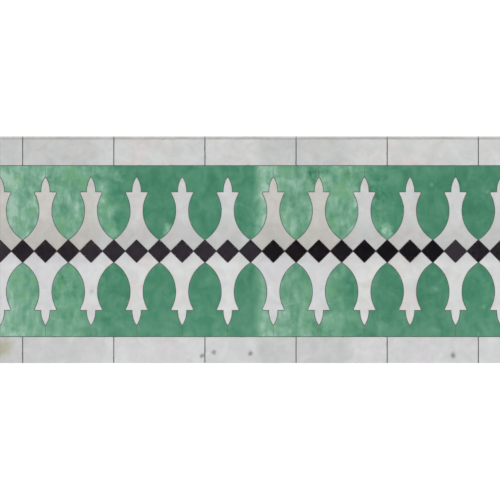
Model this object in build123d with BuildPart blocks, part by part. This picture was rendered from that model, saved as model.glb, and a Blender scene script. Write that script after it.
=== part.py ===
"""A border panel of cut glazed tile, with rows of leaves and finials mirrored about a row of diamonds.

X runs along the border, Y across it and Z up out of the glazed face. The panel lies on its back, and the
origin is the middle of its underside.
"""

import os
from math import ceil

from build123d import *

# The pattern, in millimetres, measured to the middle of the joints. Heights are from the row of diamonds.
pitch = 50.0  # along the border, from one finial to the next
repeats = 11  # leaves in a row
diamond_height = 12.5  # to a diamond's upper corner
neck_height = 43.5
neck_half_width = 7.0  # a finial near its narrowest
shoulder_height = 65.0
shoulder_half_width = 13.2
tip_height = 81.7
tip_half_width = 4.9  # where the tip leaves the shoulders
tip_bulge = 1.4  # how far the tip's sides bow out
tip_to_border = 12.2
border_width = 29.4
border_tile_length = 100.0

# The pieces and the cement that they are set in.
joint = 0.8  # between two pieces
piece_thickness = 11.0
bed_thickness = 9.0  # cement under the pieces
grout_recess = 0.4  # the grout's top below the glazed face
edge_joint = 3.0  # grout left along the back edge and the left end

length = repeats * pitch
field_height = tip_height + tip_to_border
half_width = field_height + border_width - joint / 2
pattern_middle = (edge_joint / 2, -edge_joint / 2, bed_thickness)

# The curve that a finial shares with the leaf beside it, from the leaf's point up to the finial's tip.
leaf_point = (pitch / 2, diamond_height)
neck = (neck_half_width, neck_height)
shoulder = (shoulder_half_width, shoulder_height)
tip_root = (tip_half_width, shoulder_height)
tip = (0, tip_height)
with BuildLine() as flank:
    ThreePointArc(leaf_point, neck, shoulder)
    Line(shoulder, tip_root)
    SagittaArc(tip_root, tip, -tip_bulge)

with BuildSketch() as finial_outline:
    with BuildLine():
        add(flank.line)
        Polyline((0, diamond_height), (pitch / 4, 0), leaf_point)
        mirror(about=Plane.YZ)
    make_face()

with BuildSketch() as leaf_outline:
    with BuildLine():
        mirror(flank.line, about=Plane.YZ.offset(pitch / 4))
        Line((pitch / 2, tip_height), (pitch / 2, field_height))
        mirror(about=Plane.YZ)
        Line((-pitch / 2, field_height), (pitch / 2, field_height))
    make_face()

with BuildSketch() as diamond_outline:
    Polygon((pitch / 4, 0), (0, diamond_height), (-pitch / 4, 0), (0, -diamond_height))

with BuildSketch() as border_tile_outline:
    with Locations((0, field_height + border_width / 2)):
        Rectangle(border_tile_length, border_width)


def cut_piece(outline):
    """The piece of tile inside an outline that is drawn along the middle of its joints."""
    with BuildPart() as piece:
        with BuildSketch():
            add(outline.sketch)
            offset(amount=-joint / 2, kind=Kind.INTERSECTION)
        extrude(amount=piece_thickness)
    return piece.part


finial = cut_piece(finial_outline)
leaf = cut_piece(leaf_outline)
diamond = cut_piece(diamond_outline)
border_tile = cut_piece(border_tile_outline)

# The rows are laid past the ends of the panel and trimmed to it. A lower row is an upper one turned round.
with BuildPart() as trim:
    with Locations(pattern_middle):
        Box(length, 2 * half_width, piece_thickness, align=(Align.CENTER, Align.CENTER, Align.MIN))

border_tiles = 2 * ceil((length - border_tile_length) / (2 * border_tile_length)) + 1
upper = 0
lower = 180
row_layouts = {
    "top_border_tiles": (border_tile, upper, border_tile_length, border_tiles),
    "upper_leaves": (leaf, upper, pitch, repeats),
    "upper_finials": (finial, upper, pitch, repeats + 1),
    "diamonds": (diamond, upper, pitch / 2, 2 * repeats + 1),
    "lower_finials": (finial, lower, pitch, repeats + 1),
    "lower_leaves": (leaf, lower, pitch, repeats),
    "bottom_border_tiles": (border_tile, lower, border_tile_length, border_tiles),
}
rows = []
for name, (piece, turn, spacing, count) in row_layouts.items():
    with BuildPart() as row:
        with Locations(pattern_middle):
            with GridLocations(spacing, spacing, count, 1):
                add(piece, rotation=(0, 0, turn))
        add(trim.part, mode=Mode.INTERSECT)
    row.part.label = name
    rows.append(row.part)

# The cement is poured round the laid pieces: a slab less the pieces, with the grout left standing between.
with BuildPart() as cement_bed:
    Box(
        length + edge_joint,
        2 * half_width + edge_joint,
        bed_thickness + piece_thickness - grout_recess,
        align=(Align.CENTER, Align.CENTER, Align.MIN),
    )
    add(rows, mode=Mode.SUBTRACT)
cement_bed.part.label = "cement_bed"

os.makedirs("parts", exist_ok=True)
for part in rows + [cement_bed.part]:
    export_step(part, f"parts/{part.label}.step")
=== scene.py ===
"""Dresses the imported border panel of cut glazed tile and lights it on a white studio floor.

Sizes are in millimetres in the panel's own frame: X along the border, Y across it, Z up out of the face.
"""

import logging
import math
from dataclasses import dataclass
from enum import IntEnum
from typing import ClassVar

import bmesh
import bpy
import numpy as np
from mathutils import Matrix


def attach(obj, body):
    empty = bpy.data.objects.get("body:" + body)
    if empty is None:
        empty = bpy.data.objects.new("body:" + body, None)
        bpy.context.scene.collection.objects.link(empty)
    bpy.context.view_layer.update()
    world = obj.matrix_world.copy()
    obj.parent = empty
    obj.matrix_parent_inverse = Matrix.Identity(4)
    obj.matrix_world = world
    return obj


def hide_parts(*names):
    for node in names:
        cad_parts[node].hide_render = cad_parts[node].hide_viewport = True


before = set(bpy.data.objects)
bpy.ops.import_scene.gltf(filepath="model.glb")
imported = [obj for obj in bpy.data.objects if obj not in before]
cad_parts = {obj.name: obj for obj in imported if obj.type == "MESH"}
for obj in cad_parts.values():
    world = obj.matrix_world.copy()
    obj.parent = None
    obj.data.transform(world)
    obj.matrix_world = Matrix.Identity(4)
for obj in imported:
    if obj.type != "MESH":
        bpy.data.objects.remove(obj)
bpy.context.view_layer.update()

Point = tuple[float, float]
Range = tuple[float, float]
Colour = tuple[float, float, float]
Socket = bpy.types.NodeSocket

MM = 0.001
FIRST_SEED = 11
# Where most of the values of a noise lie.
NOISE_MIDDLE: Range = (0.3, 0.7)
# How near counts as on a line, as one point and as on a cut, in millimetres.
ON_LINE = 0.01
WELD_REACH = 0.001
CUT_REACH = 0.00001
# Faces that turn by more than this, in degrees, keep the edge between them sharp.
CREASE_ANGLE = 35.0
log = logging.getLogger("panel")


class Turn(IntEnum):
    """Which way a piece points: a lower row is an upper one turned half round."""

    UPPER = 1
    LOWER = -1


class Skin(IntEnum):
    """The two surfaces of a cut piece, in the order of its material slots."""

    GLAZE = 0
    CLAY = 1


@dataclass(frozen=True)
class Pattern:
    """The drawn pattern, to the middle of the joints, with heights from the row of diamonds."""

    pitch: float = 50.0
    repeats: int = 11
    diamond_height: float = 12.5
    neck: Point = (7.0, 43.5)
    shoulder: Point = (13.2, 65.0)
    tip_half_width: float = 4.9
    tip_height: float = 81.7
    tip_bulge: float = 1.4
    field_height: float = 93.9
    border_width: float = 29.4
    border_tile_length: float = 100.0
    joint: float = 0.8
    edge_joint: float = 3.0
    bed_top: float = 9.0
    face: float = 20.0

    @property
    def middle(self) -> np.ndarray:
        """The pattern's middle in the panel's frame, which the grout margin shifts."""
        return np.array((self.edge_joint / 2, -self.edge_joint / 2))

    @property
    def half_length(self) -> float:
        """From the pattern's middle to the end of its pieces."""
        return self.repeats * self.pitch / 2

    @property
    def half_width(self) -> float:
        """From the pattern's middle to the outer side of a border tile."""
        return self.field_height + self.border_width - self.joint / 2

    @property
    def tip_side(self) -> Point:
        """The middle of the bowed side of a finial's tip, off the middle of the side's chord by its bulge.

        Returns:
            Its X and Y.
        """
        rise = self.tip_height - self.shoulder[1]
        chord = math.hypot(self.tip_half_width, rise)
        x = self.tip_half_width / 2 + self.tip_bulge * rise / chord
        return x, self.shoulder[1] + rise / 2 + self.tip_bulge * self.tip_half_width / chord


PATTERN = Pattern()


@dataclass(frozen=True)
class Mark:
    """A roundish mark in a glaze, placed from the pattern's middle, and how strong it is.

    In the green a strong mark is a pale pool, and one below zero is a deep one.
    """

    x: float
    y: float
    radius: float
    depth: float = 1.0


@dataclass(frozen=True)
class Cloud:
    """Cloudy noise, with its size about how far apart the clouds are.

    Detail is how many finer layers it has, and roughness is how strong those are. Stretch is how many
    times longer the clouds are along each axis, and swirl is how much they are pulled about. Shift, in
    metres, moves the noise, so that two of one size differ.
    """

    size: float
    detail: float = 3.0
    roughness: float = 0.55
    stretch: tuple[float, float, float] = (1.0, 1.0, 1.0)
    shift: float = 0.0
    swirl: float = 0.0


def linear(red: float, green: float, blue: float) -> tuple[float, float, float, float]:
    """Turns an 8-bit screen colour into the linear colour that a shader takes.

    It is the standard screen curve: a straight foot, and a power of 2.4 above it.

    Args:
        red: Red, 0 to 255.
        green: Green, 0 to 255.
        blue: Blue, 0 to 255.

    Returns:
        Linear red, green, blue and an alpha of one.
    """
    value = np.array((red, green, blue)) / 255
    value = np.where(value <= 0.04045, value / 12.92, ((value + 0.055) / 1.055) ** 2.4)
    return (float(value[0]), float(value[1]), float(value[2]), 1.0)


def fill_ramp(ramp: bpy.types.ColorRamp, stops: dict[float, tuple[float, float, float, float]]) -> None:
    """Sets the stops of a colour ramp.

    Args:
        ramp: A new ramp.
        stops: Linear colours with alpha, at places from 0 to 1 in order.
    """
    while len(ramp.elements) < len(stops):
        ramp.elements.new(1.0)
    for element, (at, colour) in zip(ramp.elements, stops.items()):
        element.position = at
        element.color = colour


class Graph:
    """A material's node tree, with short methods that each add a node and return its output socket."""

    RIPPLE = Cloud(5.0, detail=2.0)
    RIPPLE_DEPTH = 0.03
    GLOSS = Cloud(20.0, shift=0.7)
    # A Mix node has sockets of the same names for each type of data, so its colour ones go by number.
    MIX_FIRST = 6
    MIX_SECOND = 7
    MIX_RESULT = 2

    def __init__(self, name: str) -> None:
        """Starts a material with an empty principled surface.

        Args:
            name: The material's name.
        """
        self.material = bpy.data.materials.new(name)
        self.material.use_nodes = True
        self.tree = self.material.node_tree
        self.surface = self.tree.nodes["Principled BSDF"]

    def add(self, kind: str, **inputs: object) -> bpy.types.Node:
        """Adds a node and fills its inputs.

        Args:
            kind: The node's type name.
            inputs: Input names, with spaces as underscores, and each one's socket or constant.

        Returns:
            The new node.
        """
        node = self.tree.nodes.new(kind)
        for name, value in inputs.items():
            self.fill(node.inputs[name.replace("_", " ")], value)
        return node

    def fill(self, socket: Socket, value: object) -> None:
        """Links a socket into another, or sets it to a constant.

        Args:
            socket: The input to fill.
            value: The output to link into it, or the constant.
        """
        if isinstance(value, Socket):
            self.tree.links.new(value, socket)
        else:
            socket.default_value = value

    def step(self, kind: str, operation: str, *values: object) -> bpy.types.Node:
        """Adds one arithmetic step.

        Args:
            kind: The node's type name.
            operation: The step's name.
            values: A socket or constant for each input, in order.

        Returns:
            The new node.
        """
        node = self.tree.nodes.new(kind)
        node.operation = operation
        for socket, value in zip(node.inputs, values):
            self.fill(socket, value)
        return node

    def math(self, operation: str, *values: object) -> Socket:
        """One arithmetic step on numbers."""
        return self.step("ShaderNodeMath", operation, *values).outputs[0]

    def vector(self, operation: str, *values: object) -> bpy.types.Node:
        """One arithmetic step on vectors, as its node, because some steps give a vector and some a number."""
        return self.step("ShaderNodeVectorMath", operation, *values)

    def place(self) -> Socket:
        """Gives the point's place in the pattern.

        Returns:
            X and Y from the pattern's middle and Z from the panel's underside, in metres.
        """
        x, y = PATTERN.middle * MM
        whole = self.add("ShaderNodeTexCoord").outputs["Object"]
        return self.vector("SUBTRACT", whole, (x, y, 0.0)).outputs[0]

    def axes(self) -> tuple[Socket, Socket, Socket]:
        """The place's X, Y and Z, in metres."""
        parts = self.add("ShaderNodeSeparateXYZ", Vector=self.place())
        return parts.outputs["X"], parts.outputs["Y"], parts.outputs["Z"]

    def attribute(self, name: str) -> Socket:
        """Reads a number that the mesh carries at each point.

        Args:
            name: The attribute's name.

        Returns:
            The number.
        """
        node = self.add("ShaderNodeAttribute")
        node.attribute_name = name
        return node.outputs["Fac"]

    def between(self, value: object, low: float, high: float) -> Socket:
        """Turns a value from 0 to 1 into one from low to high."""
        return self.math("MULTIPLY_ADD", value, high - low, low)

    def noise(self, cloud: Cloud) -> Socket:
        """Makes cloudy noise.

        Args:
            cloud: What the noise is like.

        Returns:
            Its value, from 0 to 1.
        """
        mapping = self.add("ShaderNodeMapping", Vector=self.place(), Location=3 * (cloud.shift,))
        mapping.inputs["Scale"].default_value = tuple(1 / s for s in cloud.stretch)
        node = self.add("ShaderNodeTexNoise", Vector=mapping.outputs[0], Scale=1 / (cloud.size * MM))
        node.inputs["Detail"].default_value = cloud.detail
        node.inputs["Roughness"].default_value = cloud.roughness
        node.inputs["Distortion"].default_value = cloud.swirl
        return node.outputs[0]

    def around(self, cloud: Cloud, amount: float, middle: float = 0.0) -> Socket:
        """Cloudy noise about a middle, by an amount each way from it."""
        return self.math("MULTIPLY_ADD", self.noise(cloud), 2 * amount, middle - amount)

    def spread(
        self, value: object, low: object, high: object, start: float = 0.0, stop: float = 1.0
    ) -> Socket:
        """Eases a value from start to stop as it goes from low to high.

        Args:
            value: The number to map.
            low: Where the change begins.
            high: Where it ends.
            start: The result up to low.
            stop: The result from high on.

        Returns:
            The mapped number.
        """
        node = self.add("ShaderNodeMapRange", Value=value, To_Min=start, To_Max=stop)
        node.interpolation_type = "SMOOTHSTEP"
        self.fill(node.inputs["From Min"], low)
        self.fill(node.inputs["From Max"], high)
        return node.outputs[0]

    def spots(self, marks: tuple[Mark, ...], grain: float = 4.0, unevenness: float = 0.6) -> Socket:
        """Draws marks on the face that fade out from their middles, with uneven rims.

        Args:
            marks: The marks.
            grain: About how far apart the bumps of their rims are, in millimetres.
            unevenness: How far the rims stray, as a share of a mark's radius.

        Returns:
            The marks' depths added up, each full at its middle and zero from its rim on.
        """
        total: object = 0.0
        wander = self.around(Cloud(grain, detail=2.0), unevenness)
        for mark in marks:
            middle = (mark.x * MM, mark.y * MM, PATTERN.face * MM)
            far = self.vector("DISTANCE", self.place(), middle).outputs["Value"]
            reach = self.math("MULTIPLY_ADD", wander, mark.radius * MM, far)
            total = self.math("ADD", total, self.spread(reach, 0.0, mark.radius * MM, mark.depth, 0.0))
        return total

    def ramp(self, value: Socket, stops: dict[float, Colour]) -> Socket:
        """Looks up a colour along a scale.

        Args:
            value: The place on the scale.
            stops: Screen colours at places from 0 to 1 in order.

        Returns:
            The colour.
        """
        node = self.add("ShaderNodeValToRGB", Fac=value)
        fill_ramp(node.color_ramp, {at: linear(*colour) for at, colour in stops.items()})
        return node.outputs["Color"]

    def mix(self, amount: object, a: object, b: object) -> Socket:
        """Blends one colour into another.

        Args:
            amount: How much of the second there is, from 0 to 1.
            a: The first colour.
            b: The second colour.

        Returns:
            The blend.
        """
        node = self.tree.nodes.new("ShaderNodeMix")
        node.data_type = "RGBA"
        self.fill(node.inputs[0], amount)
        self.fill(node.inputs[self.MIX_FIRST], a)
        self.fill(node.inputs[self.MIX_SECOND], b)
        return node.outputs[self.MIX_RESULT]

    def scale(self, colour: object, amount: object) -> Socket:
        """Multiplies a colour by a number, which goes in after two vectors that this step doesn't use."""
        return self.vector("SCALE", colour, (0, 0, 0), (0, 0, 0), amount).outputs[0]

    def bump(self, height: object, depth: float) -> None:
        """Roughens the surface's shading by a height from 0 to 1, where one stands for the depth."""
        node = self.add("ShaderNodeBump", Height=height, Strength=1.0, Distance=depth * MM)
        self.tree.links.new(node.outputs[0], self.surface.inputs["Normal"])

    def ripple(self) -> None:
        """Ripples the surface slightly, as glaze that has run."""
        self.bump(self.noise(self.RIPPLE), self.RIPPLE_DEPTH)

    def gloss(self, smooth: float, dull: float) -> Socket:
        """Roughness that goes from a smooth value to a dull one in clouds."""
        return self.spread(self.noise(self.GLOSS), *NOISE_MIDDLE, smooth, dull)

    def finish(self, colour: object, roughness: object, specular: float = 0.5) -> bpy.types.Material:
        """Fills the surface and returns the material.

        Args:
            colour: Its colour.
            roughness: How rough it is.
            specular: How strongly it reflects, with 0.5 for common glaze.

        Returns:
            The material.
        """
        self.fill(self.surface.inputs["Base Color"], colour)
        self.fill(self.surface.inputs["Roughness"], roughness)
        self.surface.inputs["Specular IOR Level"].default_value = specular
        return self.material


@dataclass(frozen=True)
class Pour:
    """How one pour of glaze follows the last along the border, each one thin where it starts."""

    start: float = 0.3
    length: float = 279.0
    blend: float = 15.0

    def along(self, graph: Graph) -> Socket:
        """Finds how far a point is through its pour.

        Args:
            graph: The material's node tree.

        Returns:
            The share of the pour's length, from 0 to 1.
        """
        x, _, _ = graph.axes()
        turns = graph.math("DIVIDE", graph.math("SUBTRACT", x, self.start * MM), self.length * MM)
        return graph.math("FRACT", turns)

    def onset(self, graph: Graph) -> Socket:
        """Tells where a pour is under way: all through the first, and easing in at the start of the second.

        Args:
            graph: The material's node tree.

        Returns:
            The number from 0 to 1.
        """
        x, _, _ = graph.axes()
        first = graph.math("LESS_THAN", x, (self.start - self.length / 2) * MM)
        second = graph.spread(x, self.start * MM, (self.start + self.blend) * MM)
        return graph.math("MAXIMUM", first, second)


@dataclass(frozen=True)
class Slope:
    """A number that eases from its foot, near the row of diamonds, to its top, further out."""

    low: float
    high: float
    foot: float
    top: float

    def value(self, graph: Graph) -> Socket:
        """The foot's number up to the low height, and the top's from the high one on."""
        _, y, _ = graph.axes()
        return graph.spread(graph.math("ABSOLUTE", y), self.low * MM, self.high * MM, self.foot, self.top)


@dataclass(frozen=True)
class WhiteGlaze:
    """Tin-white glaze, duller where a pour is thin, with a blush past that and a few specks.

    The thin start fades, and the blush comes and fades, over ranges that are shares of a pour's length. The
    foot shade, where it is given, is painted shade that darkens the glaze towards the row of diamonds.
    """

    name: str
    thin: Colour
    full: Colour
    blush: Colour
    specks: tuple[Mark, ...] = ()
    stains: tuple[Mark, ...] = ()
    # Painted shade, which darkens the glaze towards the row of diamonds.
    painted_foot_shade: Slope | None = None
    pour: Pour = Pour()
    edge_cloud: Cloud = Cloud(30.0)
    edge_wander: float = 0.06
    thin_fades: Range = (0.35, 0.43)
    blush_comes: Range = (0.44, 0.54)
    blush_fades: Range = (0.64, 0.74)
    blush_strength: Range = (0.3, 0.9)
    blush_cloud: Cloud = Cloud(24.0, shift=0.5)
    blush_edge: Range = (0.42, 0.6)
    tone_cloud: Cloud = Cloud(14.0, 4.0, 0.6, shift=0.3, swirl=0.6)
    cloudiness: float = 0.2
    piece_range: float = 0.025
    stain_colour: Colour = (174, 172, 151)
    stain_grain: float = 12.0
    speck_colour: Colour = (136, 138, 144)
    roughness: Range = (0.14, 0.24)

    def material(self) -> bpy.types.Material:
        """Makes the material.

        The colour goes from the thin glaze's to the full one's along a pour, and blushes in patches. Clouds
        and each piece's own tone then lighten or darken it, and painted shade darkens it towards the diamonds
        where it is given. The stains and specks go on top.

        Returns:
            The material.
        """
        graph = Graph(self.name)
        wander = graph.around(self.edge_cloud, self.edge_wander)
        along = graph.math("ADD", self.pour.along(graph), wander)
        fading = graph.spread(along, *self.thin_fades, 1.0, 0.0)
        start = graph.math("MULTIPLY", self.pour.onset(graph), fading)
        colour = graph.mix(start, linear(*self.full), linear(*self.thin))
        coming = graph.spread(along, *self.blush_comes)
        later = graph.math("MULTIPLY", coming, graph.spread(along, *self.blush_fades, 1.0, 0.0))
        patch = graph.spread(graph.noise(self.blush_cloud), *self.blush_edge)
        amount = graph.math("MULTIPLY", patch, graph.between(later, *self.blush_strength))
        colour = graph.mix(amount, colour, linear(*self.blush))
        cloud = graph.around(self.tone_cloud, self.cloudiness, 1.0)
        tone = graph.math("MULTIPLY_ADD", graph.attribute("tone"), self.piece_range, 1.0)
        # Painted shade: the colour is darkened towards the row of diamonds.
        if self.painted_foot_shade:
            tone = graph.math("MULTIPLY", tone, self.painted_foot_shade.value(graph))
        colour = graph.scale(colour, graph.math("MULTIPLY", cloud, tone))
        if self.stains:
            colour = graph.mix(graph.spots(self.stains, self.stain_grain), colour, linear(*self.stain_colour))
        if self.specks:
            colour = graph.mix(graph.spots(self.specks), colour, linear(*self.speck_colour))
        graph.ripple()
        return graph.finish(colour, graph.gloss(*self.roughness))


@dataclass(frozen=True)
class GreenGlaze:
    """Copper-green glaze that runs pale and mottled where a pour is thin, and deep in the rest.

    The thin share, its softness and the first stretch, which is the palest, are shares of a pour's length.
    """

    GREENS: ClassVar[dict[float, Colour]] = {
        0.0: (56, 116, 89),
        0.2: (72, 133, 105),
        0.5: (101, 154, 126),
        0.75: (122, 169, 144),
        1.0: (156, 190, 172),
    }

    name: str
    thin_share: float
    softness: float
    paleness: float
    mottle: float
    lift: Slope
    pools: tuple[Mark, ...]
    pour: Pour = Pour()
    edge_cloud: Cloud = Cloud(26.0, shift=0.9)
    edge_wander: float = 0.16
    first_stretch: Range = (0.05, 0.13)
    first_gain: float = 1.65
    blotches: Cloud = Cloud(15.0, 2.0, 0.5, shift=0.411, swirl=0.6)
    streaks: Cloud = Cloud(8.0, stretch=(0.8, 2.0, 1.0), shift=0.811, swirl=0.3)
    least_streak: float = 0.5
    least_mottle: float = 0.3
    flecks: Cloud = Cloud(9.0, 1.0, 0.5, shift=2.3)
    fleck_edge: Range = (0.7, 0.88)
    fleck_strength: float = 0.25
    pool_strength: float = 0.55
    warm: Colour = (110, 166, 114)
    warm_patches: Cloud = Cloud(16.0, shift=1.7)
    warm_edge: Range = (0.5, 0.68)
    warmth: float = 0.5
    piece_range: float = 0.03
    roughness: Range = (0.12, 0.22)

    def material(self) -> bpy.types.Material:
        """Makes the material.

        The colour is looked up on a scale from deep to pale green. Its place there is the lift, plus the
        paleness where the pour is thin, plus the pools, the flecks and the clouds. Thin glaze is warmer in
        patches, and each piece's own tone lightens or darkens it.

        Returns:
            The material.
        """
        graph = Graph(self.name)
        along = self.pour.along(graph)
        edge = graph.around(self.edge_cloud, self.edge_wander, self.thin_share)
        fade_start = graph.math("SUBTRACT", edge, self.softness)
        fade_end = graph.math("ADD", edge, self.softness)
        fade = graph.spread(along, fade_start, fade_end, 1.0, 0.0)
        thin = graph.math("MULTIPLY", fade, self.pour.onset(graph))
        gain = graph.spread(along, *self.first_stretch, self.first_gain, 1.0)
        pale = graph.math("MULTIPLY", gain, self.paleness)
        blotch = graph.around(self.blotches, 1.0)
        streak = graph.around(self.streaks, 1.0)
        streak = graph.math("MULTIPLY", streak, graph.between(thin, self.least_streak, 1.0))
        strength = graph.between(thin, self.least_mottle, self.least_mottle + self.mottle)
        cloud = graph.math("MULTIPLY", graph.math("ADD", blotch, streak), strength)
        flecks = graph.spread(graph.noise(self.flecks), *self.fleck_edge, 0.0, self.fleck_strength)
        pools = graph.math("MULTIPLY_ADD", graph.spots(self.pools), self.pool_strength, flecks)
        level = graph.math("MULTIPLY_ADD", thin, pale, self.lift.value(graph))
        level = graph.math("ADD", level, pools)
        colour = graph.ramp(graph.math("ADD", level, cloud), self.GREENS)
        warm = graph.spread(graph.noise(self.warm_patches), *self.warm_edge, 0.0, self.warmth)
        colour = graph.mix(graph.math("MULTIPLY", warm, thin), colour, linear(*self.warm))
        tone = graph.math("MULTIPLY_ADD", graph.attribute("tone"), self.piece_range, 1.0)
        graph.ripple()
        return graph.finish(graph.scale(colour, tone), graph.gloss(*self.roughness))


@dataclass(frozen=True)
class BlackGlaze:
    """Manganese-black glaze, browner where it is thin."""

    name: str
    deep: Colour = (11, 8, 13)
    thin: Colour = (51, 44, 52)
    clouds: Cloud = Cloud(6.0)
    cloudiness: float = 0.35
    roughness: float = 0.16

    def material(self) -> bpy.types.Material:
        """Makes the material, in which a piece's tone says how thin its glaze is.

        Returns:
            The material.
        """
        graph = Graph(self.name)
        cloud = graph.around(self.clouds, self.cloudiness)
        amount = graph.math("ADD", graph.attribute("tone"), cloud)
        colour = graph.mix(amount, linear(*self.deep), linear(*self.thin))
        graph.ripple()
        return graph.finish(colour, self.roughness)


@dataclass(frozen=True)
class BareClay:
    """The pale fired clay of a chipped arris or a cut side."""

    name: str = "bare_clay"
    pale: Colour = (188, 179, 165)
    dark: Colour = (150, 140, 126)
    grain: Cloud = Cloud(2.5, 5.0, 0.65)
    pits: Cloud = Cloud(1.6, 4.0, 0.7)
    pit_depth: float = 0.25
    roughness: float = 0.92
    specular: float = 0.2

    def material(self) -> bpy.types.Material:
        """Makes the material, grained from dark to pale and pitted.

        Returns:
            The material.
        """
        graph = Graph(self.name)
        grain = graph.spread(graph.noise(self.grain), *NOISE_MIDDLE)
        colour = graph.mix(grain, linear(*self.dark), linear(*self.pale))
        graph.bump(graph.noise(self.pits), self.pit_depth)
        return graph.finish(colour, self.roughness, self.specular)


@dataclass(frozen=True)
class Cement:
    """Pale sandy cement, with dark grout where it fills the joints, and a thin band of painted shadow on the
    margin beside the tiles' top and left edges.
    """

    name: str = "cement"
    pale: Colour = (204, 204, 201)
    dull: Colour = (180, 180, 176)
    grout: Colour = (86, 89, 89)
    black_grout: Colour = (52, 52, 54)
    # How far below the face the joints' grout and the painted shadow band are dark, and how far the band of
    # painted shadow reaches past the tiles' top and left edges onto the margin, in millimetres.
    dark_top_depth: float = 0.8
    painted_shadow_rim: float = 0.45
    clouds: Cloud = Cloud(30.0, 4.0, 0.6)
    sand: Cloud = Cloud(1.2, roughness=0.7)
    sandy_range: Range = (0.7, 1.3)
    grout_clouds: Cloud = Cloud(3.0)
    grout_cloudiness: float = 0.3
    grit: Cloud = Cloud(0.9, roughness=0.7)
    lumps: Cloud = Cloud(7.0)
    relief: float = 0.2
    roughness: float = 0.95
    specular: float = 0.2

    def joints(self, graph: Graph) -> Socket:
        """Finds the grout of the joints, which runs out over the margin at the ends of the border tiles, and
        a thin band of painted shadow on the margin beside the tiles' top and left edges.

        Args:
            graph: The material's node tree.

        Returns:
            One on that grout and on the band of painted shadow, and zero elsewhere.
        """
        x, y, z = graph.axes()
        # Painted shadow: the dark reaches a thin band past the tiles' top and left edges onto the margin.
        back = graph.math("LESS_THAN", y, (PATTERN.half_width + self.painted_shadow_rim) * MM)
        left = graph.math("GREATER_THAN", x, -(PATTERN.half_length + self.painted_shadow_rim) * MM)
        length = PATTERN.border_tile_length * MM
        in_tile = graph.math("WRAP", x, length, 0.0)
        run_out = graph.math("COMPARE", in_tile, length / 2, PATTERN.joint / 2 * MM)
        # Only near the face, so that the dark grout and the painted shadow band stay off the bed's sides.
        high = graph.math("GREATER_THAN", z, (PATTERN.face - self.dark_top_depth) * MM)
        flat = graph.math("MAXIMUM", graph.math("MULTIPLY", back, left), run_out)
        return graph.math("MULTIPLY", flat, high)

    def material(self) -> bpy.types.Material:
        """Makes the material: clouded sandy cement, dark grout that is darkest beside the diamonds, and a
        thin band of painted shadow beside the tiles' top and left edges.

        Returns:
            The material.
        """
        graph = Graph(self.name)
        cloud = graph.math("ADD", graph.noise(self.clouds), graph.noise(self.sand))
        clean = graph.mix(graph.spread(cloud, *self.sandy_range), linear(*self.dull), linear(*self.pale))
        _, y, _ = graph.axes()
        by_diamonds = graph.math("LESS_THAN", graph.math("ABSOLUTE", y), PATTERN.diamond_height * MM)
        dark = graph.mix(by_diamonds, linear(*self.grout), linear(*self.black_grout))
        dark = graph.scale(dark, graph.around(self.grout_clouds, self.grout_cloudiness, 1.0))
        colour = graph.mix(self.joints(graph), clean, dark)
        graph.bump(graph.math("ADD", graph.noise(self.grit), graph.noise(self.lumps)), self.relief)
        return graph.finish(colour, self.roughness, self.specular)


@dataclass(frozen=True)
class Outline:
    """Half of a piece's outline and the spine that its face is drawn in to.

    Both run up the right-hand side from the piece's axis back to it, a point for a point.
    """

    edge: np.ndarray
    spine: np.ndarray

    def whole(self) -> tuple[np.ndarray, np.ndarray, np.ndarray, np.ndarray]:
        """Closes the outline and works out the way that each of its points moves when it is drawn in.

        The left side is the right side mirrored. A point moves in along the mitre of its two edges, which is
        the sum of their inward normals divided by one plus the cosine between them. A corner is as sharp as
        its mitre is longer than one.

        Returns:
            The outline anticlockwise, the mitre and the sharpness at each of its points, and the spine point
            for each.
        """
        flip = np.array((-1.0, 1.0))
        edge = np.concatenate((self.edge, (self.edge[1:-1] * flip)[::-1]))
        spine = np.concatenate((self.spine, (self.spine[1:-1] * flip)[::-1]))
        along = np.roll(edge, -1, axis=0) - edge
        along /= np.linalg.norm(along, axis=1, keepdims=True)
        after = np.stack((-along[:, 1], along[:, 0]), axis=1)
        before = np.roll(after, 1, axis=0)
        mitre = (after + before) / (1 + (after * before).sum(axis=1, keepdims=True))
        sharpness = np.linalg.norm(mitre, axis=1) - 1
        return edge, mitre, sharpness, spine


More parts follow.
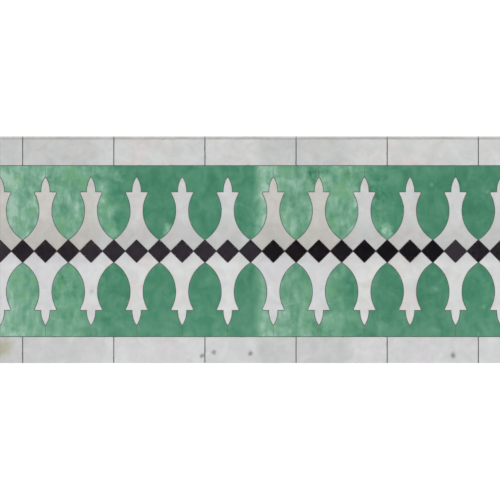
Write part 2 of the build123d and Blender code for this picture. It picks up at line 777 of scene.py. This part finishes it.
class Pen:
    """Draws an outline from lines and arcs, in steps of about one length."""

    def __init__(self, start: Point, spine: Point, step: float = 1.2) -> None:
        """Starts an outline on the piece's axis.

        Args:
            start: Its first point.
            spine: The spine point that the first point is drawn in to.
            step: About how long each side is, longer than a mitre takes off at the sharpest corner.
        """
        self.edge = [np.array([start], float)]
        self.spine = [np.array([spine], float)]
        self.step = step

    def _join(self, points: np.ndarray, spine: Point) -> "Pen":
        """Adds points whose spine runs evenly on to a new spine point.

        Args:
            points: The points.
            spine: The last one's spine point.

        Returns:
            The pen.
        """
        share = np.linspace(0, 1, len(points) + 1)[1:, None]
        last = self.spine[-1][-1]
        self.edge.append(points)
        self.spine.append(last + share * (np.array(spine) - last))
        return self

    def line(self, end: Point, spine: Point) -> "Pen":
        """Draws a straight line to a point.

        Args:
            end: The point.
            spine: The point's spine point.

        Returns:
            The pen.
        """
        start = self.edge[-1][-1]
        count = max(1, round(float(np.linalg.norm(end - start)) / self.step))
        share = np.linspace(0, 1, count + 1)[1:, None]
        return self._join(start + share * (np.array(end) - start), spine)

    def arc(self, through: Point, end: Point, spine: Point) -> "Pen":
        """Draws a circular arc through one point to another.

        The centre is where the chords' upright bisectors meet, and the angle runs evenly from the start to
        the end on the side of the middle point.

        Args:
            through: A point on the arc.
            end: The arc's end.
            spine: The end's spine point.

        Returns:
            The pen.
        """
        a, b, c = self.edge[-1][-1], np.array(through), np.array(end)
        sides = 2 * np.stack((b - a, c - a))
        centre = np.linalg.solve(sides, np.array(((b @ b) - (a @ a), (c @ c) - (a @ a))))
        angles = np.arctan2(*(np.stack((a, b, c)) - centre).T[::-1])
        angles = np.unwrap(angles)
        radius = np.linalg.norm(a - centre)
        count = max(2, round(float(radius * abs(angles[2] - angles[0])) / self.step))
        turn = np.linspace(angles[0], angles[2], count + 1)[1:]
        return self._join(centre + radius * np.stack((np.cos(turn), np.sin(turn)), axis=1), spine)

    def outline(self) -> Outline:
        """The finished half outline."""
        return Outline(np.concatenate(self.edge), np.concatenate(self.spine))


@dataclass
class TileRow:
    """One row of like pieces, made as a joined mesh in place of its CAD node.

    A face tilts by a slope, stands off by a step and swells in waves, each as high as a share of its length.
    Corners are rounded from a sharpness at which that starts up to one that gets it in full.
    """

    node: str
    slot: str
    glaze: bpy.types.Material
    clay: bpy.types.Material
    turn: Turn
    seed: int
    pattern: Pattern = PATTERN
    arris: float = 0.12
    arris_slope: float = 0.8
    chip_start: float = 0.52
    chip_size: float = 1.6
    cut_waver: float = 0.05
    waves_round: tuple[int, ...] = (9, 14, 23, 37)
    wear_start: float = 0.78
    wear_full: float = 1.1
    wear_passes: int = 6
    face_tilt: float = 0.0022
    face_step: float = 0.05
    swell_share: float = 0.0009
    swell_lengths: tuple[float, ...] = (18.0, 25.0, 34.0, 47.0, 63.0)
    face_rings: tuple[float, ...] = (0.0, 0.07, 0.2, 0.4, 0.62, 0.82, 1.0)

    def outline(self) -> Outline:
        """The piece's half outline, on its own axis."""
        raise NotImplementedError

    def gaps(self, edge: np.ndarray) -> np.ndarray:
        """Half of the joint beside each point of the outline."""
        return np.full(len(edge), self.pattern.joint / 2)

    def layout(self) -> tuple[float, int]:
        """The row's spacing and how many pieces it has, with the ones that the ends cut."""
        raise NotImplementedError

    def tones(self, stations: np.ndarray, rng: np.random.Generator) -> np.ndarray:
        """How each piece's colour differs, from -1 to 1."""
        return rng.uniform(-1, 1, len(stations))

    def waver(self, points: int, pieces: int, rng: np.random.Generator) -> np.ndarray:
        """Makes an uneven number round each piece, from -1 to 1.

        It is the mean of four waves round the outline, each with its own count and a random start.

        Args:
            points: Points round an outline.
            pieces: Pieces in the row.
            rng: The row's random numbers.

        Returns:
            The number for each piece and point.
        """
        counts = np.array(self.waves_round)
        start = rng.uniform(0, 2 * np.pi, (pieces, 1, len(counts)))
        turn = np.linspace(0, 2 * np.pi, points, endpoint=False)[None, :, None]
        return np.cos(counts * turn + start).mean(axis=2)

    def worn(self, edge: np.ndarray, sharpness: np.ndarray) -> np.ndarray:
        """Rounds the sharp corners, as the chisel leaves them.

        A corner is drawn towards the middle of the two points beside it by a share that grows with its
        sharpness, and those two points by half of that share, a few times over.

        Args:
            edge: X and Y for each piece and point of the outline.
            sharpness: How sharp the outline is at each point.

        Returns:
            The rounded outlines.
        """
        share = np.clip((sharpness - self.wear_start) / (self.wear_full - self.wear_start), 0, 1)
        beside = np.maximum(np.roll(share, 1), np.roll(share, -1))
        share = np.maximum(share, beside / 2)[:, None]
        for _ in range(self.wear_passes):
            middle = (np.roll(edge, 1, axis=1) + np.roll(edge, -1, axis=1)) / 2
            edge = edge + share * (middle - edge)
        return edge

    def relief(self, points: np.ndarray, rng: np.random.Generator) -> np.ndarray:
        """Works out how far each point of a face stands off the panel's face.

        It is a small tilt and step for each piece plus five waves across it, in directions of its own.

        Args:
            points: X and Y for each piece, ring and point.
            rng: The row's random numbers.

        Returns:
            The height of each point, in millimetres.
        """
        pieces = len(points)
        centre = points.mean(axis=(1, 2), keepdims=True)
        tilt = rng.normal(0, self.face_tilt, (pieces, 1, 1, 2))
        step = rng.normal(0, self.face_step, (pieces, 1, 1))
        height = ((points - centre) * tilt).sum(axis=3) + step
        for length in self.swell_lengths:
            way = rng.uniform(0, 2 * np.pi, (pieces, 1, 1))
            start = rng.uniform(0, 2 * np.pi, (pieces, 1, 1))
            across = points[..., 0] * np.cos(way) + points[..., 1] * np.sin(way)
            height += self.swell_share * length * np.sin(2 * np.pi * across / length + start)
        return height

    def shells(self, stations: np.ndarray, rng: np.random.Generator) -> tuple[np.ndarray, np.ndarray]:
        """Works out every point of the row as rings round each piece.

        Two rings make the back, from its spine out to the edge. The third is the top of the side, the fourth
        the inside of the arris, and the rest run in across the face to the spine. The arris is glazed where
        it is fine and bare where it is chipped wide.

        Args:
            stations: Where each piece stands along the border.
            rng: The row's random numbers.

        Returns:
            The points by piece, ring and place on the outline, and the skin between each two rings.
        """
        edge, mitre, sharpness, spine = self.outline().whole()
        shape = (len(edge), len(stations), rng)
        inset = self.gaps(edge) - self.cut_waver * (1 + self.waver(*shape))
        shift = np.stack((stations, np.zeros_like(stations)), axis=1)[:, None]
        edge = self.turn * self.worn(edge + inset[..., None] * mitre, sharpness) + shift
        spine = self.turn * spine + shift
        reach = np.linalg.norm(spine - edge, axis=2)
        inward = (spine - edge) / reach[..., None]
        chipped = np.clip(self.waver(*shape) - self.chip_start, 0, None)
        chip = self.arris + self.chip_size * chipped
        shares = np.array(self.face_rings)[None, :, None]
        run = chip[:, None] + shares * (reach - chip)[:, None]
        face = edge[:, None] + run[..., None] * inward[:, None]
        top = self.pattern.face + self.relief(face, rng)
        back = np.stack((spine, edge, edge), axis=1)
        low = np.full(edge.shape[:2], self.pattern.bed_top)
        side_top = top[:, 0] - self.arris_slope * chip
        height = np.concatenate((np.stack((low, low, side_top), axis=1), top), axis=1)
        flat = np.concatenate((back, face), axis=1) + self.pattern.middle
        points = np.concatenate((flat, height[..., None]), axis=3) * MM
        pieces, rings, around, _ = points.shape
        skins = np.full((pieces, rings - 1, around), Skin.GLAZE)
        skins[:, :2] = Skin.CLAY
        skins[:, 2] = np.where(chipped > 0, Skin.CLAY, Skin.GLAZE)
        return points, skins

    def build(self) -> bpy.types.Object:
        """Makes the row, trims it to the panel's ends and puts it in the frame.

        Returns:
            The row's object.
        """
        rng = np.random.default_rng(self.seed)
        spacing, count = self.layout()
        stations = (np.arange(count) - (count - 1) / 2) * spacing
        points, skins = self.shells(stations, rng)
        pieces, rings, around, _ = points.shape
        index = np.arange(pieces * rings * around).reshape(pieces, rings, around)
        onward = np.roll(index, -1, axis=2)
        quads = np.stack((index[:, :-1], onward[:, :-1], onward[:, 1:], index[:, 1:]), axis=3)
        mesh = bpy.data.meshes.new(self.node)
        mesh.from_pydata(points.reshape(-1, 3), [], quads.reshape(-1, 4))
        mesh.materials.append(self.glaze)
        mesh.materials.append(self.clay)
        mesh.polygons.foreach_set("material_index", skins.reshape(-1).astype(np.int32))
        tone = mesh.attributes.new("tone", "FLOAT", "POINT")
        tone.data.foreach_set("value", np.repeat(self.tones(stations, rng), rings * around))
        self.trim(mesh)
        piece = bpy.data.objects.new(f"{self.node}_dressed", mesh)
        bpy.context.scene.collection.objects.link(piece)
        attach(piece, "root")
        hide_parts(self.node)
        log.info("%s: %d pieces, %d faces", self.node, pieces, len(mesh.polygons))
        return piece

    def trim(self, mesh: bpy.types.Mesh) -> None:
        """Welds the spines, cuts the row at the panel's ends and closes the cuts with bare clay.

        Args:
            mesh: The row's mesh.
        """
        shape = bmesh.new()
        shape.from_mesh(mesh)
        bmesh.ops.remove_doubles(shape, verts=shape.verts, dist=WELD_REACH * MM)
        for side in (-1, 1):
            end = (self.pattern.middle[0] + side * self.pattern.half_length) * MM
            bmesh.ops.bisect_plane(
                shape,
                geom=shape.verts[:] + shape.edges[:] + shape.faces[:],
                dist=CUT_REACH * MM,
                plane_co=(end, 0, 0),
                plane_no=(side, 0, 0),
                clear_outer=True,
            )
        cut = [edge for edge in shape.edges if edge.is_boundary]
        filled = bmesh.ops.edgeloop_fill(shape, edges=cut, mat_nr=int(Skin.CLAY))
        bmesh.ops.triangulate(shape, faces=filled["faces"])
        bmesh.ops.recalc_face_normals(shape, faces=shape.faces)
        shape.to_mesh(mesh)
        shape.free()
        mesh.polygons.foreach_set("use_smooth", np.ones(len(mesh.polygons), bool))
        mesh.set_sharp_from_angle(angle=math.radians(CREASE_ANGLE))


@dataclass
class FinialRow(TileRow):
    """White pieces shaped like turned finials, with a half one at each end."""

    foot_gap: float = 0.55
    spine_heights: tuple[float, float, float] = (24.0, 61.0, 70.0)

    def outline(self) -> Outline:
        """Draws from the notch over a diamond, by the foot and flank, to the tip.

        Returns:
            The half outline.
        """
        p = self.pattern
        low, high, top = ((0.0, height) for height in self.spine_heights)
        pen = Pen((0.0, p.diamond_height), low)
        pen.line((p.pitch / 4, 0.0), low).line((p.pitch / 2, p.diamond_height), low)
        pen.arc(p.neck, p.shoulder, high).line((p.tip_half_width, p.shoulder[1]), high)
        return pen.arc(p.tip_side, (0.0, p.tip_height), top).outline()

    def gaps(self, edge: np.ndarray) -> np.ndarray:
        """Half of a joint, and more over the diamonds."""
        return np.where(edge[:, 1] < self.pattern.diamond_height, self.foot_gap, self.pattern.joint / 2)

    def layout(self) -> tuple[float, int]:
        """One on each repeat's line."""
        return self.pattern.pitch, self.pattern.repeats + 1


@dataclass
class LeafRow(TileRow):
    """Green pieces between the finials, set close to each other over the tips."""

    wear_passes: int = 4
    close_joint: float = 0.4
    spine_heights: tuple[float, float, float, float] = (34.0, 66.0, 79.0, 86.0)

    def outline(self) -> Outline:
        """Draws from the leaf's point, up beside the finial's flank and tip, to its straight edge's middle.

        Returns:
            The half outline.
        """
        p = self.pattern
        half = p.pitch / 2
        low, neck, root, top = ((0.0, height) for height in self.spine_heights)
        side = p.tip_side
        pen = Pen((0.0, p.diamond_height), low)
        pen.arc((half - p.neck[0], p.neck[1]), (half - p.shoulder[0], p.shoulder[1]), neck)
        pen.line((half - p.tip_half_width, p.shoulder[1]), root)
        pen.arc((half - side[0], side[1]), (half, p.tip_height), top)
        return pen.line((half, p.field_height), top).line((0.0, p.field_height), top).outline()

    def gaps(self, edge: np.ndarray) -> np.ndarray:
        """Half of a joint, and less between two leaves."""
        beside = np.abs(edge[:, 0]) > self.pattern.pitch / 2 - ON_LINE
        return np.where(beside, self.close_joint / 2, self.pattern.joint / 2)

    def layout(self) -> tuple[float, int]:
        """One in each repeat."""
        return self.pattern.pitch, self.pattern.repeats


@dataclass
class DiamondRow(TileRow):
    """Black diamonds along the middle, with a half one at each end.

    They come in batches along the row, and the thinnest ones stand by themselves.
    """

    half_joint: float = 0.3
    batch_ends: tuple[float, float, float] = (-190.0, 12.0, 205.0)
    batch_tones: tuple[float, float, float, float] = (0.5, 0.78, 0.1, 0.46)
    tone_spread: float = 0.06
    thinnest: tuple[float, float] = (-275.0, 225.0)
    thinnest_tone: float = 0.95

    def outline(self) -> Outline:
        """Draws from the lower corner by the right one to the upper.

        Returns:
            The half outline.
        """
        p = self.pattern
        middle = (0.0, 0.0)
        pen = Pen((0.0, -p.diamond_height), middle).line((p.pitch / 4, 0.0), middle)
        return pen.line((0.0, p.diamond_height), middle).outline()

    def gaps(self, edge: np.ndarray) -> np.ndarray:
        """The diamonds' own half of a joint."""
        return np.full(len(edge), self.half_joint)

    def layout(self) -> tuple[float, int]:
        """Two to a repeat."""
        return self.pattern.pitch / 2, 2 * self.pattern.repeats + 1

    def tones(self, stations: np.ndarray, rng: np.random.Generator) -> np.ndarray:
        """Gives each diamond its batch's tone, a little more or less.

        Args:
            stations: Where each diamond stands along the border.
            rng: The row's random numbers.

        Returns:
            How thin each one's glaze is, from 0 to 1.
        """
        tone = np.array(self.batch_tones)[np.searchsorted(self.batch_ends, stations)]
        tone = np.where(np.isin(stations, self.thinnest), self.thinnest_tone, tone)
        return tone + rng.uniform(-self.tone_spread, self.tone_spread, len(stations))


@dataclass
class BorderRow(TileRow):
    """Plain tiles along an edge, the end ones trimmed."""

    end_joint: float = 1.1
    outline_step: float = 2.5

    def outline(self) -> Outline:
        """Draws from the middle of the inner side round one end to the middle of the outer side.

        Returns:
            The half outline.
        """
        p = self.pattern
        near, far, half = p.field_height, p.field_height + p.border_width, p.border_tile_length / 2
        middle = (near + far) / 2
        inner = half - p.border_width / 2
        pen = Pen((0.0, near), (0.0, middle), self.outline_step).line((half, near), (inner, middle))
        return pen.line((half, far), (inner, middle)).line((0.0, far), (0.0, middle)).outline()

    def gaps(self, edge: np.ndarray) -> np.ndarray:
        """Half of a joint, and more between two tiles."""
        end = np.abs(edge[:, 0]) > self.pattern.border_tile_length / 2 - ON_LINE
        return np.where(end, self.end_joint / 2, self.pattern.joint / 2)

    def layout(self) -> tuple[float, int]:
        """Counts as many tiles as cover the panel, with one in the middle.

        Returns:
            The tiles' spacing and their number.
        """
        p = self.pattern
        over = (2 * p.half_length - p.border_tile_length) / (2 * p.border_tile_length)
        return p.border_tile_length, 2 * math.ceil(over) + 1


@dataclass
class Studio:
    """A white floor under soft light, and a camera that looks straight down at the panel.

    The floor's half size is in metres. The sky's levels are by height, from the horizon to overhead.
    """

    SKY_LEVELS: ClassVar[dict[float, float]] = {
        0.0: 1.05, 0.04: 1.05, 0.07: 0.74, 0.2: 0.68,
        0.55: 0.5, 0.82: 0.3, 0.93: 0.1, 1.0: 0.08,
    }

    photo_width: float = 548.65
    aim: Point = (-0.56, 1.25)
    lens: float = 200.0
    sensor: float = 36.0
    floor_half_size: float = 40.0
    floor_white: float = 0.85
    floor_glow: float = 0.25
    floor_roughness: float = 0.9
    key_strength: float = 2.1
    key_angle: float = 12.0

    def floor(self) -> None:
        """Lays a wide floor under the panel."""
        size = self.floor_half_size
        white = self.floor_white
        mesh = bpy.data.meshes.new("floor")
        corners = [(-size, -size, 0), (size, -size, 0), (size, size, 0), (-size, size, 0)]
        mesh.from_pydata(corners, [], [(0, 1, 2, 3)])
        graph = Graph("floor")
        graph.surface.inputs["Emission Color"].default_value = (1, 1, 1, 1)
        graph.surface.inputs["Emission Strength"].default_value = self.floor_glow
        mesh.materials.append(graph.finish((white, white, white, 1), self.floor_roughness, 0.0))
        floor = bpy.data.objects.new("floor", mesh)
        bpy.context.scene.collection.objects.link(floor)

    def sky(self) -> None:
        """Fills the room with light that is bright near the floor and dimmer overhead."""
        world = bpy.data.worlds.new("studio")
        world.use_nodes = True
        tree = world.node_tree
        place = tree.nodes.new("ShaderNodeTexCoord")
        parts = tree.nodes.new("ShaderNodeSeparateXYZ")
        ramp = tree.nodes.new("ShaderNodeValToRGB")
        tree.links.new(place.outputs["Generated"], parts.inputs[0])
        tree.links.new(parts.outputs["Z"], ramp.inputs["Fac"])
        fill_ramp(ramp.color_ramp, {at: (level, level, level, 1) for at, level in self.SKY_LEVELS.items()})
        tree.links.new(ramp.outputs["Color"], tree.nodes["Background"].inputs["Color"])
        bpy.context.scene.world = world

    def key(self) -> None:
        """Hangs a soft light straight overhead that isn't mirrored in the glaze."""
        light = bpy.data.lights.new("key", "SUN")
        light.energy = self.key_strength
        light.angle = math.radians(self.key_angle)
        key = bpy.data.objects.new("key", light)
        key.visible_glossy = False
        bpy.context.scene.collection.objects.link(key)

    def camera(self) -> None:
        """Sets the camera above the panel, so that the picture's width matches the face."""
        lens = bpy.data.cameras.new("camera")
        lens.lens = self.lens
        lens.sensor_width = self.sensor
        camera = bpy.data.objects.new("camera", lens)
        away = self.photo_width * self.lens / self.sensor
        x, y = PATTERN.middle + self.aim
        camera.location = (x * MM, y * MM, (PATTERN.face + away) * MM)
        bpy.context.scene.collection.objects.link(camera)
        bpy.context.scene.camera = camera

    def build(self) -> None:
        """Sets up the whole studio."""
        self.floor()
        self.sky()
        self.key()
        self.camera()
        bpy.context.scene.view_settings.view_transform = "Standard"


UPPER_POOLS = (
    Mark(-217.0, 78.0, 13.0, -0.4),
    Mark(-167.9, 78.7, 10.0, -0.7),
    Mark(-142.0, 79.0, 9.0, -0.4),
    Mark(-90.2, 26.2, 6.0),
    Mark(-90.2, 19.5, 8.5),
    Mark(22.0, 84.0, 10.0, -0.4),
    Mark(69.0, 84.0, 14.0, -1.0),
    Mark(71.0, 75.0, 10.0, -0.35),
    Mark(105.3, 82.0, 9.0, -0.45),
    Mark(110.0, 24.0, 10.0, 0.6),
    Mark(137.0, 77.0, 10.0, -0.4),
    Mark(138.5, 62.0, 15.0, -0.6),
    Mark(149.6, 24.4, 9.5, 0.8),
    Mark(149.3, 16.8, 12.0),
    Mark(199.0, 72.8, 4.0, 0.5),
    Mark(260.7, 64.6, 4.2, 0.55),
)
LOWER_POOLS = (
    Mark(-243.0, -51.0, 11.0, 0.4),
    Mark(-235.0, -68.0, 14.0, 0.4),
    Mark(-211.0, -70.0, 11.0, -0.4),
    Mark(-206.3, -32.1, 10.0, -0.65),
    Mark(41.7, -65.0, 12.0, 0.45),
    Mark(73.0, -83.0, 12.0, -0.45),
    Mark(87.8, -58.4, 8.0, 0.5),
    Mark(109.5, -43.0, 13.0, -0.45),
    Mark(144.8, -81.5, 10.0, 0.4),
    Mark(201.7, -40.7, 4.5, 0.5),
    Mark(256.5, -60.2, 4.0, 0.5),
)
FINIAL_SPECKS = (Mark(-174.2, -44.3, 4.5, 0.4),)
BORDER_SPECKS = (
    Mark(-53.2, -114.5, 4.5),
    Mark(-40.1, -110.7, 4.5),
    Mark(0.2, -111.8, 4.8),
    Mark(222.5, -114.4, 4.8),
)
BORDER_STAINS = (Mark(-273.5, -104.2, 19.0),)


def row_glazes() -> dict[str, bpy.types.Material]:
    """Makes the glaze of each row.

    Returns:
        The glazes by the row's node.
    """
    glazes: dict[str, GreenGlaze | BlackGlaze | WhiteGlaze] = {
        "upper_leaves": GreenGlaze(
            "upper_leaf_glaze",
            thin_share=0.47,
            softness=0.06,
            paleness=0.43,
            mottle=0.26,
            lift=Slope(70.0, 85.0, 0.2, 0.23),
            pools=UPPER_POOLS,
        ),
        "lower_leaves": GreenGlaze(
            "lower_leaf_glaze",
            thin_share=0.36,
            softness=0.13,
            paleness=0.34,
            mottle=0.14,
            lift=Slope(58.0, 74.0, 0.2, 0.29),
            pools=LOWER_POOLS,
        ),
        "diamonds": BlackGlaze("diamond_glaze"),
        "top_border_tiles": WhiteGlaze(
            "top_border_glaze",
            thin=(193, 195, 194),
            full=(205, 207, 206),
            blush=(208, 203, 202),
        ),
        "upper_finials": WhiteGlaze(
            "upper_finial_glaze",
            thin=(195, 193, 187),
            full=(202, 205, 204),
            blush=(205, 200, 199),
            # Painted shade at the finials' feet, darkest beside the diamonds.
            painted_foot_shade=Slope(10.0, 46.0, 0.875, 1.0),
        ),
        "lower_finials": WhiteGlaze(
            "lower_finial_glaze",
            thin=(208, 209, 211),
            full=(211, 213, 212),
            blush=(212, 208, 206),
            specks=FINIAL_SPECKS,
            # Painted shade at the finials' feet, darkest beside the diamonds.
            painted_foot_shade=Slope(4.0, 18.0, 0.9, 1.0),
        ),
        "bottom_border_tiles": WhiteGlaze(
            "bottom_border_glaze",
            thin=(196, 198, 197),
            full=(207, 209, 208),
            blush=(211, 206, 211),
            specks=BORDER_SPECKS,
            stains=BORDER_STAINS,
        ),
    }
    return {node: glaze.material() for node, glaze in glazes.items()}


def main() -> None:
    """Builds the rows, dresses the bed and sets up the studio."""
    logging.basicConfig(level=logging.INFO)
    clay = BareClay().material()
    glazes = row_glazes()
    rows: list[tuple[type[TileRow], str, str, Turn]] = [
        (BorderRow, "top_border_tiles", "white_glaze", Turn.UPPER),
        (LeafRow, "upper_leaves", "green_glaze", Turn.UPPER),
        (FinialRow, "upper_finials", "white_glaze", Turn.UPPER),
        (DiamondRow, "diamonds", "black_glaze", Turn.UPPER),
        (FinialRow, "lower_finials", "white_glaze", Turn.LOWER),
        (LeafRow, "lower_leaves", "green_glaze", Turn.LOWER),
        (BorderRow, "bottom_border_tiles", "white_glaze", Turn.LOWER),
    ]
    for seed, (kind, node, slot, turn) in enumerate(rows, FIRST_SEED):
        kind(node, slot, glazes[node], clay, turn, seed).build()
    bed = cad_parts["cement_bed"].data.materials
    bed.clear()
    bed.append(Cement().material())
    Studio().build()


if __name__ == "__main__":
    main()
